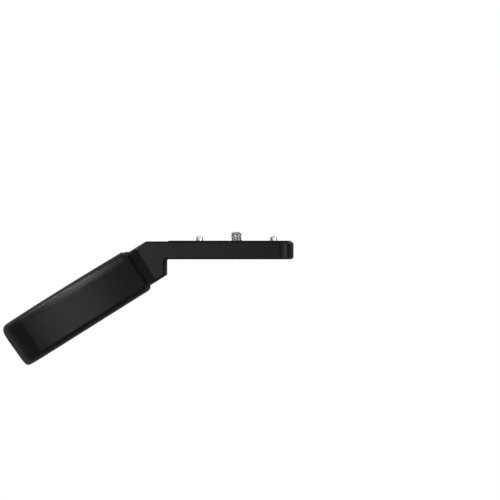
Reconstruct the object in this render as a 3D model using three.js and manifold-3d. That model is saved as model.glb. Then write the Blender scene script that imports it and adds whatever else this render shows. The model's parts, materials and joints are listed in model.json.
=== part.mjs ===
// Bent hand grip with a mounting block, in millimetres, with +Z up.
//
// The mounting block lies flat, with a seat above and a seat below, and a captive coupling screw
// clamps it. Behind the block a neck bends down, and carries the grip: two moulded core halves,
// bolted together round the tang of the neck, inside a one-piece rubber sleeve.
// +X points to the front end of the block, and Y runs across it. The origin is on the axis of
// the coupling screw, in the plane of the upper seat.

import * as THREE from "three";
import { mergeVertices } from "three/addons/utils/BufferGeometryUtils.js";
import Module from "manifold-3d";

const wasm = await Module();
wasm.setup();

// Mounting block
const blockWidth = 42;
const blockThickness = 9.6;
const screwToFront = 30.6;
const screwToShoulder = 38.05; // back to the step that what lies under the block butts against
const blockCornerRadius = 8;
const edgeChamfer = 1;

// Neck: bends down at the knee, then narrows a little before the grip
const bendAngle = THREE.MathUtils.degToRad(32);
const kneeBehindShoulder = 10.05;
const kneeRadius = 3;
const shoulderRadius = 1;
const neckThickness = 20.75;
const taperStart = 5.3; // from the knee, along the neck
const taperAngle = THREE.MathUtils.degToRad(17);
const taperBlendRadius = 7;
const spigotLength = 3; // the stretch of the neck that the sleeve covers

// Tang of the neck, inside the grip
const tangTail = 7.5; // past the last screw that goes through it
const tangWidth = 16;
const tangThickness = 12.4;
const tangCornerRadius = 3;

// Rubber seat pad on top of the block
const padThickness = 1.2;
const padProud = 0.4;
const padMargin = 1.4; // from the pad's recess to the edge of the block
const padGap = 0.2;

// Coupling screw: a 1/4 inch stud above, and a head below that is tapped for the same thread
const studRadius = 3.15;
const studHeight = 4.8; // above the seat
const studTip = 0.9;
const studHoleGap = 0.4;
const headRadius = 7.8;
const headChamfer = 0.6;
const headSinking = 0.3; // of the head's face, below the underside of the block
const headGap = 0.7; // round the head, in its counterbore
const webThickness = 2; // the metal between the two counterbores, which the screw clamps
const tappedRadius = 2.6;
const tappedDepth = 4.3;
const slotWidth = 2;
const slotDepth = 1.5;
const washerThickness = 0.4;
const washerInset = 0.4; // of the washer's edge, from the edge of the head

// Retaining clip: keeps the coupling screw in the block, with a little float
const clipThickness = 0.6;
const clipPlay = 0.75; // between the clip's band and the stud
const clipBand = 1.5;
const clipMouth = THREE.MathUtils.degToRad(38); // from the middle of the mouth to its edge
const clipLug = THREE.MathUtils.degToRad(24);
const grooveDepth = 0.7;
const grooveClearance = 0.25;
const screwFloat = 0.5;
const floatMargin = 0.2;
const clipGap = 1; // round the clip, in its recess
const clipRecessDepth = 0.8; // below the floor of the pad's recess

// Locating pins in the top of the block, and the holes for pins that come from below
const pinRadius = 2;
const pinHeight = 2.4; // above the seat
const pinDepth = 4.8; // into the block
const pinTip = 0.5;
const pinHoleGap = 0.1;
const pinFromScrew = 20;
const lowerHoleRadius = 2.25;
const lowerHoleDepth = 3.4;

// Grip
const fitClearance = 0.3; // between the tang, the core halves and the sleeve
const sleeveStart = 12.3; // from the knee, along the neck
const sleeveLength = 78.6;
const sleeveSlant = THREE.MathUtils.degToRad(3.5); // of its far end, with the top further down
const sleeveWall = 1.9;
const sleeveEndWall = 2.5;
const reliefDepth = 1.15; // of the step down in the sleeve's top, at its rim
const reliefLength = 1.3;
const reliefRamp = 1;
const gripBulge = 2.2; // on each side, half way along
const gripCrown = 0.25; // above, half way along
const sleeveTopRadius = 5.2;
const sleeveBottomRadius = 3.2;
const sleeveRimRadius = 0.6;
const sleeveEndPlanRadius = 13;
const sleeveEndTopRadius = 4.5;
const sleeveEndBottomRadius = 3;

// Core halves
const coreWall = 2.6;
const bossRadius = 5;
const bayHeight = 11;

// Core screws and nuts
const screwCount = 4;
const firstScrew = 9; // from the end of the core that meets the neck
const lastScrew = 13.8; // from the other end
const coreScrewRadius = 1.95;
const coreScrewGap = 0.35; // round the screws, in the core and the tang
const coreHeadRadius = 3.5;
const coreHeadHeight = 4;
const coreHeadSinking = 1; // of the head's face, below the side of the core
const counterboreGap = 0.4;
const socketWidth = 3;
const socketDepth = 2;
const screwTail = 1.2; // of the screw, past its nut
const nutWidth = 7;
const nutThickness = 3.2;
const nutBoreGap = 0.2;
const nutPocketGap = 0.2;

// Counts of flat facets on round shapes, and the overrun of cuts
const cornerSteps = 6;
const endSteps = 9;
const lengthSteps = 10;
const rimSteps = 3;
const taperSteps = 8;
const spigotSteps = 4;
const roundSteps = 40;
const smallRoundSteps = 24;
const overrun = 2;

// Radii that follow the pieces they clear or hold
const studHoleRadius = studRadius + studHoleGap;
const counterboreRadius = headRadius + headGap;
const washerRadius = headRadius - washerInset;
const clipBandRadius = studRadius + clipPlay;
const clipRadius = clipBandRadius + clipBand;
const clipRecessRadius = clipRadius + clipGap;
const grooveRadius = studRadius - grooveDepth;
const coreScrewHole = coreScrewRadius + coreScrewGap;
const nutBore = coreScrewRadius + nutBoreGap;

// Levels of the block's faces, from the seat down
const blockTop = -padProud;
const blockBottom = blockTop - blockThickness;
const padFloor = -padThickness;
const clipFloor = padFloor - clipRecessDepth;
const webBottom = clipFloor - webThickness;
const blockFront = screwToFront;
const shoulderX = -screwToShoulder;
const kneeX = shoulderX - kneeBehindShoulder;

// The grip's own frame: its origin is on the neck's middle line, square below the knee, and its
// -X runs down the grip. A place t along the grip is at x = -t there.
const gripFrame = new THREE.Matrix4()
  .makeTranslation(
    kneeX + Math.sin(bendAngle) * neckThickness / 2,
    0,
    blockTop - Math.cos(bendAngle) * neckThickness / 2,
  )
  .multiply(new THREE.Matrix4().makeRotationY(-bendAngle));

/** A point of the block's side view, from its place along the neck and its height there. */
function neckPoint(t, height) {
  const p = new THREE.Vector3(-t, 0, height).applyMatrix4(gripFrame);
  return new THREE.Vector2(p.x, p.z);
}

/** Half the neck's width at a place past the start of its taper. */
function neckHalfWidth(t) {
  const blended = taperBlendRadius * Math.sin(taperAngle);
  const past = Math.max(t - taperStart, 0);
  if (past < blended) {
    return blockWidth / 2 - taperBlendRadius + Math.sqrt(taperBlendRadius ** 2 - past ** 2);
  }
  const drop = taperBlendRadius * (1 - Math.cos(taperAngle));
  return blockWidth / 2 - drop - (past - blended) * Math.tan(taperAngle);
}

const coreHalfHeight = neckThickness / 2;
const slope = Math.tan(sleeveSlant);
const neckEnd = sleeveStart - fitClearance;
const spigotEnd = sleeveStart + spigotLength;
const coreStart = spigotEnd + fitClearance;
const coreEnd = sleeveStart + sleeveLength - sleeveEndWall - fitClearance;
const coreHalfWidth = neckHalfWidth(neckEnd);

// Places of the core screws along the grip. All but the last go through the tang.
const screwPitch = (coreEnd - lastScrew - coreStart - firstScrew) / (screwCount - 1);
const screwPlaces = Array.from({ length: screwCount }, (_, i) => coreStart + firstScrew + i * screwPitch);
const tangPlaces = screwPlaces.slice(0, -1);
const tangEnd = tangPlaces.at(-1) + tangTail;

/** How far along the grip a place is: 0 at its middle, and -1 and 1 at its ends. */
function alongGrip(t) {
  return (t - sleeveStart) / (sleeveLength / 2) - 1;
}

/** A closed solid of a geometry, with its shared vertices merged. */
function solid(geometry, matrix = new THREE.Matrix4()) {
  const bare = geometry.index ? geometry.toNonIndexed() : geometry.clone();
  bare.deleteAttribute("normal");
  bare.deleteAttribute("uv");
  bare.applyMatrix4(matrix);
  const grid = 10000;
  const position = bare.getAttribute("position");
  for (let i = 0; i < position.array.length; i++) {
    position.array[i] = Math.round(position.array[i] * grid) / grid;
  }
  const merged = mergeVertices(bare, 1 / grid);
  const index = Array.from(merged.index.array);
  const triVerts = [];
  for (let i = 0; i < index.length; i += 3) {
    const [a, b, c] = index.slice(i, i + 3);
    if (a !== b && b !== c && c !== a) triVerts.push(a, b, c);
  }
  return new wasm.Manifold(
    new wasm.Mesh({
      numProp: 3,
      vertProperties: merged.attributes.position.array,
      triVerts: new Uint32Array(triVerts),
    }),
  );
}

/** The geometry of a solid. */
function geometryOf(made) {
  const mesh = made.getMesh();
  const position = new Float32Array(mesh.numVert * 3);
  for (let i = 0; i < mesh.numVert; i++) {
    position.set(mesh.vertProperties.subarray(i * mesh.numProp, i * mesh.numProp + 3), i * 3);
  }
  const geometry = new THREE.BufferGeometry();
  geometry.setAttribute("position", new THREE.BufferAttribute(position, 3));
  geometry.setIndex(new THREE.BufferAttribute(mesh.triVerts, 1));
  geometry.computeVertexNormals();
  return geometry;
}

/** A closed outline through corners {x, y, r}, each rounded by its own radius r. */
function roundedOutline(corners) {
  const shape = new THREE.Shape();
  corners.forEach((corner, i) => {
    const before = corners[(i + corners.length - 1) % corners.length];
    const after = corners[(i + 1) % corners.length];
    const at = new THREE.Vector2(corner.x, corner.y);
    const back = new THREE.Vector2(before.x, before.y).sub(at).normalize();
    const on = new THREE.Vector2(after.x, after.y).sub(at).normalize();
    const start = at;
    if (!corner.r) {
      if (i) shape.lineTo(start.x, start.y);
      else shape.moveTo(start.x, start.y);
      return;
    }
    const half = Math.acos(THREE.MathUtils.clamp(back.dot(on), -1, 1)) / 2;
    const first = at.clone().addScaledVector(back, corner.r / Math.tan(half));
    const last = at.clone().addScaledVector(on, corner.r / Math.tan(half));
    const centre = at.clone().addScaledVector(back.clone().add(on).normalize(), corner.r / Math.sin(half));
    if (i) shape.lineTo(first.x, first.y);
    else shape.moveTo(first.x, first.y);
    const from = Math.atan2(first.y - centre.y, first.x - centre.x);
    const to = Math.atan2(last.y - centre.y, last.x - centre.x);
    shape.absarc(centre.x, centre.y, corner.r, from, to, back.cross(on) > 0);
  });
  shape.closePath();
  return shape;
}

/** A rectangle with round corners, from its lowest and highest corner. */
function roundedRectangle(x0, x1, halfWidth, radius) {
  return roundedOutline([
    { x: x1, y: -halfWidth, r: radius },
    { x: x1, y: halfWidth, r: radius },
    { x: x0, y: halfWidth, r: radius },
    { x: x0, y: -halfWidth, r: radius },
  ]);
}

/** An outline in the X-Y plane, raised from z0 to z1, with a chamfer round both ends. */
function plate(shape, z0, z1, chamfer = 0) {
  const geometry = new THREE.ExtrudeGeometry(shape, {
    depth: z1 - z0 - 2 * chamfer,
    curveSegments: cornerSteps,
    bevelEnabled: chamfer > 0,
    bevelThickness: chamfer,
    bevelSize: chamfer,
    bevelOffset: -chamfer,
    bevelSegments: 1,
  });
  return geometry.translate(0, 0, z0 + chamfer);
}

/** An outline in the X-Z plane, run across the part by its full width, with chamfered sides. */
function sideways(shape, width, chamfer = 0) {
  return plate(shape, -width / 2, width / 2, chamfer).rotateX(Math.PI / 2);
}

/** A profile of {radius, height} points turned about the Z axis. */
function turned(profile, steps = smallRoundSteps) {
  const points = profile.map(([r, z]) => new THREE.Vector2(r, z));
  return new THREE.LatheGeometry(points, steps).rotateX(Math.PI / 2);
}

/** A plain cylinder along Z, from z0 to z1. */
function rod(radius, z0, z1, steps = smallRoundSteps) {
  return turned([[0, z0], [radius, z0], [radius, z1], [0, z1]], steps);
}

/** A plain cylinder along Y, through x on the grip's middle line. */
function crossRod(radius, x, y0, y1, steps = smallRoundSteps) {
  return rod(radius, y0, y1, steps).rotateX(-Math.PI / 2).translate(x, 0, 0);
}

/** A box from its lowest to its highest corner. */
function box(x0, x1, y0, y1, z0, z1) {
  const geometry = new THREE.BoxGeometry(x1 - x0, y1 - y0, z1 - z0);
  return geometry.translate((x0 + x1) / 2, (y0 + y1) / 2, (z0 + z1) / 2);
}

/** A section of the grip: a rectangle with round corners, in a plane that leans by a slope. */
function section({ t, wide, high, low, top, bottom, lean = 0, steps = cornerSteps }) {
  const ring = [];
  const corners = [
    [1, 1, high, top, 0],
    [-1, 1, high, top, 1],
    [-1, -1, low, bottom, 2],
    [1, -1, low, bottom, 3],
  ];
  for (const [sideY, sideZ, reach, radius, quarter] of corners) {
    for (let i = 0; i <= steps; i++) {
      const angle = (quarter + i / steps) * Math.PI / 2;
      const y = sideY * (wide - radius) + radius * Math.cos(angle);
      const z = sideZ * (reach - radius) + radius * Math.sin(angle);
      ring.push(new THREE.Vector3(-t - lean * z, y, z));
    }
  }
  return ring;
}

/** A closed solid through a row of sections, which run from the lowest x to the highest. */
function loft(rings) {
  const count = rings[0].length;
  const position = rings.flat().flatMap((p) => [p.x, p.y, p.z]);
  const index = [];
  for (let i = 0; i + 1 < rings.length; i++) {
    for (let k = 0; k < count; k++) {
      const a = i * count + k;
      const b = i * count + (k + 1) % count;
      index.push(a, b, a + count, b, b + count, a + count);
    }
  }
  const last = (rings.length - 1) * count;
  for (let k = 1; k + 1 < count; k++) {
    index.push(0, k + 1, k, last, last + k, last + k + 1);
  }
  const geometry = new THREE.BufferGeometry();
  geometry.setAttribute("position", new THREE.Float32BufferAttribute(position, 3));
  geometry.setIndex(index);
  return geometry;
}

/** The section of a grip body at a place, lying inside the sleeve's outer skin by an inset. */
function gripSection(t, inset, wideLoss = 0, highLoss = 0, lowLoss = 0) {
  const share = Math.max(1 - alongGrip(t) ** 2, 0);
  const side = coreHalfWidth + fitClearance + sleeveWall - inset + gripBulge * share;
  const tall = coreHalfHeight + fitClearance + sleeveWall - inset;
  return section({
    t,
    wide: side - wideLoss,
    high: tall + gripCrown * share - highLoss,
    low: tall - lowLoss,
    top: sleeveTopRadius - inset,
    bottom: sleeveBottomRadius - inset,
    lean: slope * Math.max(alongGrip(t), 0),
  });
}

/**
 * The sections of a grip body that is round at its far end, from there to its start. Its plan is
 * rounded by one radius, and its side view by a smaller one at the top and another at the bottom.
 */
function gripSections({ start, end, inset }) {
  const plan = sleeveEndPlanRadius - inset;
  const loss = (radius, inward) => radius - Math.sqrt(radius ** 2 - Math.max(radius - inward, 0) ** 2);
  const rings = [];
  for (let i = 0; i <= endSteps; i++) {
    const angle = (i / endSteps) * Math.PI / 2;
    const inward = plan * (1 - Math.cos(angle));
    rings.push(
      gripSection(
        end - inward,
        inset,
        plan * (1 - Math.sin(angle)),
        loss(sleeveEndTopRadius - inset, inward),
        loss(sleeveEndBottomRadius - inset, inward),
      ),
    );
  }
  const straightEnd = end - plan;
  for (let i = 1; i <= lengthSteps; i++) {
    rings.push(gripSection(straightEnd + (start - straightEnd) * (i / lengthSteps), inset));
  }
  return rings;
}

/** The space that the core halves fill, grown on every side by a gap. */
function coreBody(start, gap) {
  return loft(gripSections({ start, end: coreEnd + gap, inset: sleeveWall + fitClearance - gap }));
}

/** The casting: mounting block, bent neck, spigot and tang. */
function bracketGeometry() {
  const join = (blockFront + shoulderX) / 2;
  const block = solid(
    plate(
      roundedOutline([
        { x: blockFront, y: -blockWidth / 2, r: blockCornerRadius },
        { x: blockFront, y: blockWidth / 2, r: blockCornerRadius },
        { x: join - overrun, y: blockWidth / 2 },
        { x: join - overrun, y: -blockWidth / 2 },
      ]),
      blockBottom,
      blockTop,
      edgeChamfer,
    ),
  );
  const taperTop = neckPoint(taperStart, coreHalfHeight);
  const taperBottom = neckPoint(taperStart, -coreHalfHeight);
  const footSlope = Math.tan(bendAngle);
  const footZ = taperBottom.y + (shoulderX - taperBottom.x) * footSlope;
  const neck = solid(
    sideways(
      roundedOutline([
        { x: join + overrun, y: blockBottom },
        { x: join + overrun, y: blockTop },
        { x: kneeX, y: blockTop, r: kneeRadius },
        { x: taperTop.x, y: taperTop.y },
        { x: taperBottom.x, y: taperBottom.y },
        { x: shoulderX, y: footZ },
        { x: shoulderX, y: blockBottom, r: shoulderRadius },
      ]),
      blockWidth,
      edgeChamfer,
    ),
  );
  const chamfered = { high: coreHalfHeight, low: coreHalfHeight, top: edgeChamfer, bottom: edgeChamfer };
  const taperRings = [];
  for (let i = 0; i <= taperSteps; i++) {
    const t = neckEnd + (taperStart - neckEnd) * (i / taperSteps);
    taperRings.push(section({ t, wide: neckHalfWidth(t), steps: 1, ...chamfered }));
  }
  const joined = taperStart - 2 * edgeChamfer;
  taperRings.push(section({ t: joined, wide: blockWidth / 2, steps: 1, ...chamfered }));
  const spigotInset = sleeveWall + fitClearance;
  const spigotRings = [];
  for (let i = 0; i <= spigotSteps; i++) {
    const t = spigotEnd + (neckEnd - spigotEnd) * (i / spigotSteps);
    spigotRings.push(gripSection(t, spigotInset));
  }
  spigotRings.push(gripSection(neckEnd - edgeChamfer, spigotInset + edgeChamfer));
  const tang = plate(
    roundedRectangle(-tangEnd, -neckEnd, tangWidth / 2, tangCornerRadius),
    -tangThickness / 2,
    tangThickness / 2,
    edgeChamfer,
  );
  let bracket = block
    .add(neck)
    .add(solid(loft(taperRings), gripFrame))
    .add(solid(loft(spigotRings), gripFrame))
    .add(solid(tang, gripFrame));
  const cuts = [
    rod(counterboreRadius, blockBottom - overrun, webBottom, roundSteps),
    rod(studHoleRadius, blockBottom, blockTop + overrun, roundSteps),
    rod(clipRecessRadius, clipFloor, blockTop + overrun, roundSteps),
    plate(padOutline(0), padFloor, blockTop + overrun),
  ];
  for (const x of [pinFromScrew, -pinFromScrew]) {
    cuts.push(rod(pinRadius + pinHoleGap, blockTop - pinDepth, blockTop + overrun).translate(x, 0, 0));
    cuts.push(rod(lowerHoleRadius, blockBottom - overrun, blockBottom + lowerHoleDepth).translate(x, 0, 0));
  }
  for (const cut of cuts) bracket = bracket.subtract(solid(cut));
  for (const t of tangPlaces) {
    bracket = bracket.subtract(solid(crossRod(coreScrewHole, -t, -tangWidth, tangWidth), gripFrame));
  }
  return geometryOf(bracket);
}

/** The outline of the seat pad's recess, drawn in by a gap. */
function padOutline(gap) {
  return roundedRectangle(
    shoulderX + padMargin + gap,
    blockFront - padMargin - gap,
    blockWidth / 2 - padMargin - gap,
    blockCornerRadius - padMargin - gap,
  );
}

/** The rubber pad, with holes for the coupling screw and the locating pins. */
function seatPadGeometry() {
  const shape = padOutline(padGap);
  const holes = [
    [0, clipRecessRadius],
    [pinFromScrew, pinRadius + 2 * padGap],
    [-pinFromScrew, pinRadius + 2 * padGap],
  ];
  for (const [x, radius] of holes) {
    shape.holes.push(new THREE.Path().absarc(x, 0, radius, 0, 2 * Math.PI));
  }
  return plate(shape, padFloor, 0);
}

/** The double-ended screw that clamps the block, with a tapped head below. */
function couplingScrewGeometry() {
  const headTop = webBottom - washerThickness;
  const headBottom = blockBottom + headSinking;
  const clipBottom = clipFloor + screwFloat + floatMargin;
  const turnedBody = turned(
    [
      [0, headBottom + tappedDepth],
      [tappedRadius, headBottom + tappedDepth],
      [tappedRadius, headBottom],
      [headRadius - headChamfer, headBottom],
      [headRadius, headBottom + headChamfer],
      [headRadius, headTop],
      [studRadius, headTop],
      [studRadius, clipBottom - grooveClearance],
      [grooveRadius, clipBottom - grooveClearance],
      [grooveRadius, clipBottom + clipThickness + grooveClearance],
      [studRadius, clipBottom + clipThickness + grooveClearance],
      [studRadius, studHeight - studTip],
      [studRadius - studTip, studHeight],
      [0, studHeight],
    ],
    roundSteps,
  );
  const slot = box(
    -headRadius - overrun,
    headRadius + overrun,
    -slotWidth / 2,
    slotWidth / 2,
    headBottom - overrun,
    headBottom + slotDepth,
  );
  return geometryOf(solid(turnedBody).subtract(solid(slot)));
}

/** The slip washer between the screw's head and the web. */
function thrustWasherGeometry() {
  const z1 = webBottom;
  const z0 = webBottom - washerThickness;
  const profile = [
    [studHoleRadius, z0],
    [washerRadius, z0],
    [washerRadius, z1],
    [studHoleRadius, z1],
    [studHoleRadius, z0],
  ];
  return turned(profile, roundSteps);
}

/** The snap-on clip: an open ring with three lugs that reach into the screw's groove. */
function retainingClipGeometry() {
  const lugRadius = (grooveRadius + studRadius) / 2;
  const turn = 2 * Math.PI;
  const shape = new THREE.Shape();
  shape.absarc(0, 0, clipRadius, clipMouth, turn - clipMouth, false);
  const lugs = [
    [turn - clipMouth, turn - clipMouth - clipLug],
    [Math.PI + clipLug / 2, Math.PI - clipLug / 2],
    [clipMouth + clipLug, clipMouth],
  ];
  lugs.forEach(([from, to], i) => {
    shape.absarc(0, 0, lugRadius, from, to, true);
    if (i + 1 < lugs.length) shape.absarc(0, 0, clipBandRadius, to, lugs[i + 1][0], true);
  });
  shape.closePath();
  const bottom = clipFloor + screwFloat + floatMargin;
  return plate(shape, bottom, bottom + clipThickness);
}

/** A locating pin on the Z axis, with a chamfered tip. */
function locatingPinGeometry() {
  return turned([
    [0, blockTop - pinDepth],
    [pinRadius, blockTop - pinDepth],
    [pinRadius, pinHeight - pinTip],
    [pinRadius - pinTip, pinHeight],
    [0, pinHeight],
  ]);
}

/** The rubber sleeve: a boot with one closed end, a round rim and a step in its top at the rim. */
function sleeveGeometry() {
  const end = sleeveStart + sleeveLength;
  const reliefEnd = sleeveStart + reliefLength;
  const rings = gripSections({ start: reliefEnd + reliefRamp, end, inset: 0 });
  rings.push(gripSection(reliefEnd, 0, 0, reliefDepth));
  for (let i = 0; i <= rimSteps; i++) {
    const angle = (i / rimSteps) * Math.PI / 2;
    const place = sleeveStart + sleeveRimRadius * (1 - Math.sin(angle));
    rings.push(gripSection(place, sleeveRimRadius * (1 - Math.cos(angle)), 0, reliefDepth));
  }
  const cavity = coreBody(sleeveStart - overrun, fitClearance);
  return geometryOf(solid(loft(rings)).subtract(solid(cavity)));
}

/** The place of a core screw's seat and of its nut's seat, from the middle plane. */
const headSeat = coreHalfWidth - coreHeadSinking - coreHeadHeight;
const nutSeat = coreHalfWidth - coreHeadSinking - nutThickness;

/** A hexagon across flats, in the X-Y plane. */
function hexagon(width) {
  const corner = width / 2 / Math.cos(Math.PI / 6);
  const points = Array.from(
    { length: 6 },
    (_, i) => new THREE.Vector2(corner * Math.cos(i * Math.PI / 3), corner * Math.sin(i * Math.PI / 3)),
  );
  return new THREE.Shape(points);
}

/** A prism along Y, from y0 to y1, standing on an outline about the grip's middle line at x. */
function crossPrism(shape, x, y0, y1) {
  return plate(shape, y0, y1).rotateX(-Math.PI / 2).translate(x, 0, 0);
}

/** One half of the grip's core. The side is 1 for the half at +Y and -1 for the other. */
function coreHalfGeometry(side) {
  const beyond = coreHalfWidth + gripBulge + overrun;
  let half = solid(coreBody(coreStart, 0)).subtract(
    solid(
      box(
        -coreEnd - overrun,
        -coreStart + overrun,
        side > 0 ? -beyond : 0,
        side > 0 ? 0 : beyond,
        -coreHalfHeight - overrun,
        coreHalfHeight + overrun,
      ),
    ),
  );
  const pocketWidth = tangWidth / 2 + fitClearance;
  const pocketHeight = tangThickness / 2 + fitClearance;
  const cuts = [
    box(
      -tangEnd - fitClearance,
      -coreStart + overrun,
      -pocketWidth,
      pocketWidth,
      -pocketHeight,
      pocketHeight,
    ),
  ];
  screwPlaces.slice(1).forEach((t, i) => {
    const y0 = side > 0 ? 0 : coreWall - coreHalfWidth;
    const y1 = side > 0 ? coreHalfWidth - coreWall : 0;
    const from = screwPlaces[i] + bossRadius;
    const to = t - bossRadius;
    cuts.push(box(-to, -from, y0, y1, -bayHeight / 2, bayHeight / 2));
  });
  for (const t of screwPlaces) {
    cuts.push(crossRod(coreScrewHole, -t, -beyond, beyond));
    if (side < 0) {
      cuts.push(crossRod(coreHeadRadius + counterboreGap, -t, -beyond, -headSeat));
    } else {
      cuts.push(crossPrism(hexagon(nutWidth + 2 * nutPocketGap), -t, nutSeat, beyond));
    }
  }
  for (const cut of cuts) half = half.subtract(solid(cut));
  return geometryOf(half);
}

/** A socket-head screw across the grip, at a place t along it. */
function coreScrewGeometry(t) {
  const body = turned([
    [0, -headSeat - coreHeadHeight],
    [coreHeadRadius, -headSeat - coreHeadHeight],
    [coreHeadRadius, -headSeat],
    [coreScrewRadius, -headSeat],
    [coreScrewRadius, nutSeat + nutThickness + screwTail - coreHeadSinking],
    [0, nutSeat + nutThickness + screwTail - coreHeadSinking],
  ])
    .rotateX(-Math.PI / 2)
    .translate(-t, 0, 0);
  const faceY = -headSeat - coreHeadHeight;
  const socket = crossPrism(hexagon(socketWidth), -t, faceY - overrun, faceY + socketDepth);
  return geometryOf(solid(body).subtract(solid(socket)));
}

/** A hexagon nut across the grip, at a place t along it. */
function coreNutGeometry(t) {
  const nut = solid(crossPrism(hexagon(nutWidth), -t, nutSeat, nutSeat + nutThickness));
  const bore = solid(crossRod(nutBore, -t, nutSeat - overrun, nutSeat + nutThickness + overrun));
  return geometryOf(nut.subtract(bore));
}

const finishes = {
  casting: new THREE.MeshStandardMaterial({ color: 0x1b1b1c, roughness: 0.55, metalness: 0.35 }),
  steel: new THREE.MeshStandardMaterial({ color: 0x8c8d8f, roughness: 0.3, metalness: 1 }),
  brass: new THREE.MeshStandardMaterial({ color: 0x9c7d3c, roughness: 0.35, metalness: 1 }),
  nylon: new THREE.MeshStandardMaterial({ color: 0xd8d5cc, roughness: 0.6, metalness: 0 }),
  plastic: new THREE.MeshStandardMaterial({ color: 0x232324, roughness: 0.6, metalness: 0 }),
  padRubber: new THREE.MeshStandardMaterial({ color: 0x141414, roughness: 0.9, metalness: 0 }),
  gripRubber: new THREE.MeshStandardMaterial({ color: 0x1d1d1d, roughness: 0.65, metalness: 0 }),
};

/** A named piece of the handle. */
function piece(name, geometry, finish) {
  const mesh = new THREE.Mesh(geometry, finishes[finish]);
  mesh.name = name;
  return mesh;
}

const handle = new THREE.Group();
handle.add(piece("bracket", bracketGeometry(), "casting"));
handle.add(piece("seat_pad", seatPadGeometry(), "padRubber"));
handle.add(piece("coupling_screw", couplingScrewGeometry(), "steel"));
handle.add(piece("thrust_washer", thrustWasherGeometry(), "nylon"));
handle.add(piece("retaining_clip", retainingClipGeometry(), "steel"));
for (const [name, x] of [["front", pinFromScrew], ["rear", -pinFromScrew]]) {
  const pin = piece(`locating_pin_${name}`, locatingPinGeometry(), "steel");
  pin.position.x = x;
  handle.add(pin);
}

const grip = new THREE.Group();
grip.applyMatrix4(gripFrame);
grip.add(piece("grip_core_left", coreHalfGeometry(1), "plastic"));
grip.add(piece("grip_core_right", coreHalfGeometry(-1), "plastic"));
screwPlaces.forEach((t, i) => {
  grip.add(piece(`core_screw_${i + 1}`, coreScrewGeometry(t), "steel"));
  grip.add(piece(`core_nut_${i + 1}`, coreNutGeometry(t), "brass"));
});
grip.add(piece("grip_sleeve", sleeveGeometry(), "gripRubber"));
handle.add(grip);

export default handle;
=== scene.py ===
"""Looks of the flash handle: a flat mounting block with a bent neck and a rubber-sleeved grip.

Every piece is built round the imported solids, in metres and in their frame: +X to the front, +Z up,
and the origin on the axis of the coupling screw, in the plane of the upper seat.
"""

from __future__ import annotations

import json
import logging
import math
from dataclasses import dataclass, field, fields
from enum import Enum
from typing import Callable, Sequence

import bmesh
import bpy
from mathutils import Matrix, Vector

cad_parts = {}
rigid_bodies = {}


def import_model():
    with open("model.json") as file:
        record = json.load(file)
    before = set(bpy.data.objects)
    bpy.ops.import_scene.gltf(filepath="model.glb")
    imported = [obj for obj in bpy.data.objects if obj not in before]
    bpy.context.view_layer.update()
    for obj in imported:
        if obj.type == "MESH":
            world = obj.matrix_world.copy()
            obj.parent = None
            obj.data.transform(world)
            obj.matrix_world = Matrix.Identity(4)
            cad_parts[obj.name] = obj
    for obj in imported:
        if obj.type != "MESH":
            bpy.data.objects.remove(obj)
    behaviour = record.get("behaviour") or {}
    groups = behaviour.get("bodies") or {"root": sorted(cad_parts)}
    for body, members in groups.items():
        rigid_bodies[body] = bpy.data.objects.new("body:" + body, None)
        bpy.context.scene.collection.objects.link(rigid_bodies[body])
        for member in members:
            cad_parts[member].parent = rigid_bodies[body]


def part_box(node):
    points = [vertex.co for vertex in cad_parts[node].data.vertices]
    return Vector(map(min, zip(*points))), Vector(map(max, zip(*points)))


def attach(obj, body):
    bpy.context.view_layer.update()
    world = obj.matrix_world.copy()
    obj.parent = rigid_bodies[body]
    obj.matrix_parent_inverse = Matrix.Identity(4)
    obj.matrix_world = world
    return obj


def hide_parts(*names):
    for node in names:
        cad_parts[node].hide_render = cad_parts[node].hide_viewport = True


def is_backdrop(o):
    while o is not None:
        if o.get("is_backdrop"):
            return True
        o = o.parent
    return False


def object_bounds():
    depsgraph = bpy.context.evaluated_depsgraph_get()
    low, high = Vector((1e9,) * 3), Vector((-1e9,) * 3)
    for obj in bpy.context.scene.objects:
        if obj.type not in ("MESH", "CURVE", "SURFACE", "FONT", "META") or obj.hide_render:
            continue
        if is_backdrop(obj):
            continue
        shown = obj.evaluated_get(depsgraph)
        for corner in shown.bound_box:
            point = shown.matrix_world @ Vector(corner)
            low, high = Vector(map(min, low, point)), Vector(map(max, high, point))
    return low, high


log = logging.getLogger("flash_handle")

MM = 0.001
QUARTER_TURN = math.pi / 2
FULL_TURN = 2 * math.pi
HEXAGON_HALF_ANGLE = math.pi / 6
MERGE_DISTANCE = 0.002 * MM
ROUNDING_SEGMENTS = 3
FLAT_ANGLE = math.radians(0.4)
HARD_ANGLE = math.radians(28)
TURNED_SHARP_ANGLE = math.radians(32)
SHARP_ANGLE = math.radians(40)
FLAT_FACE_WEIGHT = 80
STAIN_DETAIL = 4
GRAIN_DETAIL = 3


class Body(Enum):
    """The rigid bodies that the pieces ride on."""

    HANDLE = "handle"
    CLIP = "clip"
    SCREW = "screw"


class Slot(Enum):
    """The record's material slots."""

    COAT = "bracket_coat"
    PAD = "pad_rubber"
    GRIP = "grip_rubber"
    STEEL = "steel"
    SPRING = "spring_steel"
    NYLON = "slip_nylon"
    CORE = "core_plastic"
    BRASS = "brass"


# Nodes


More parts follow.
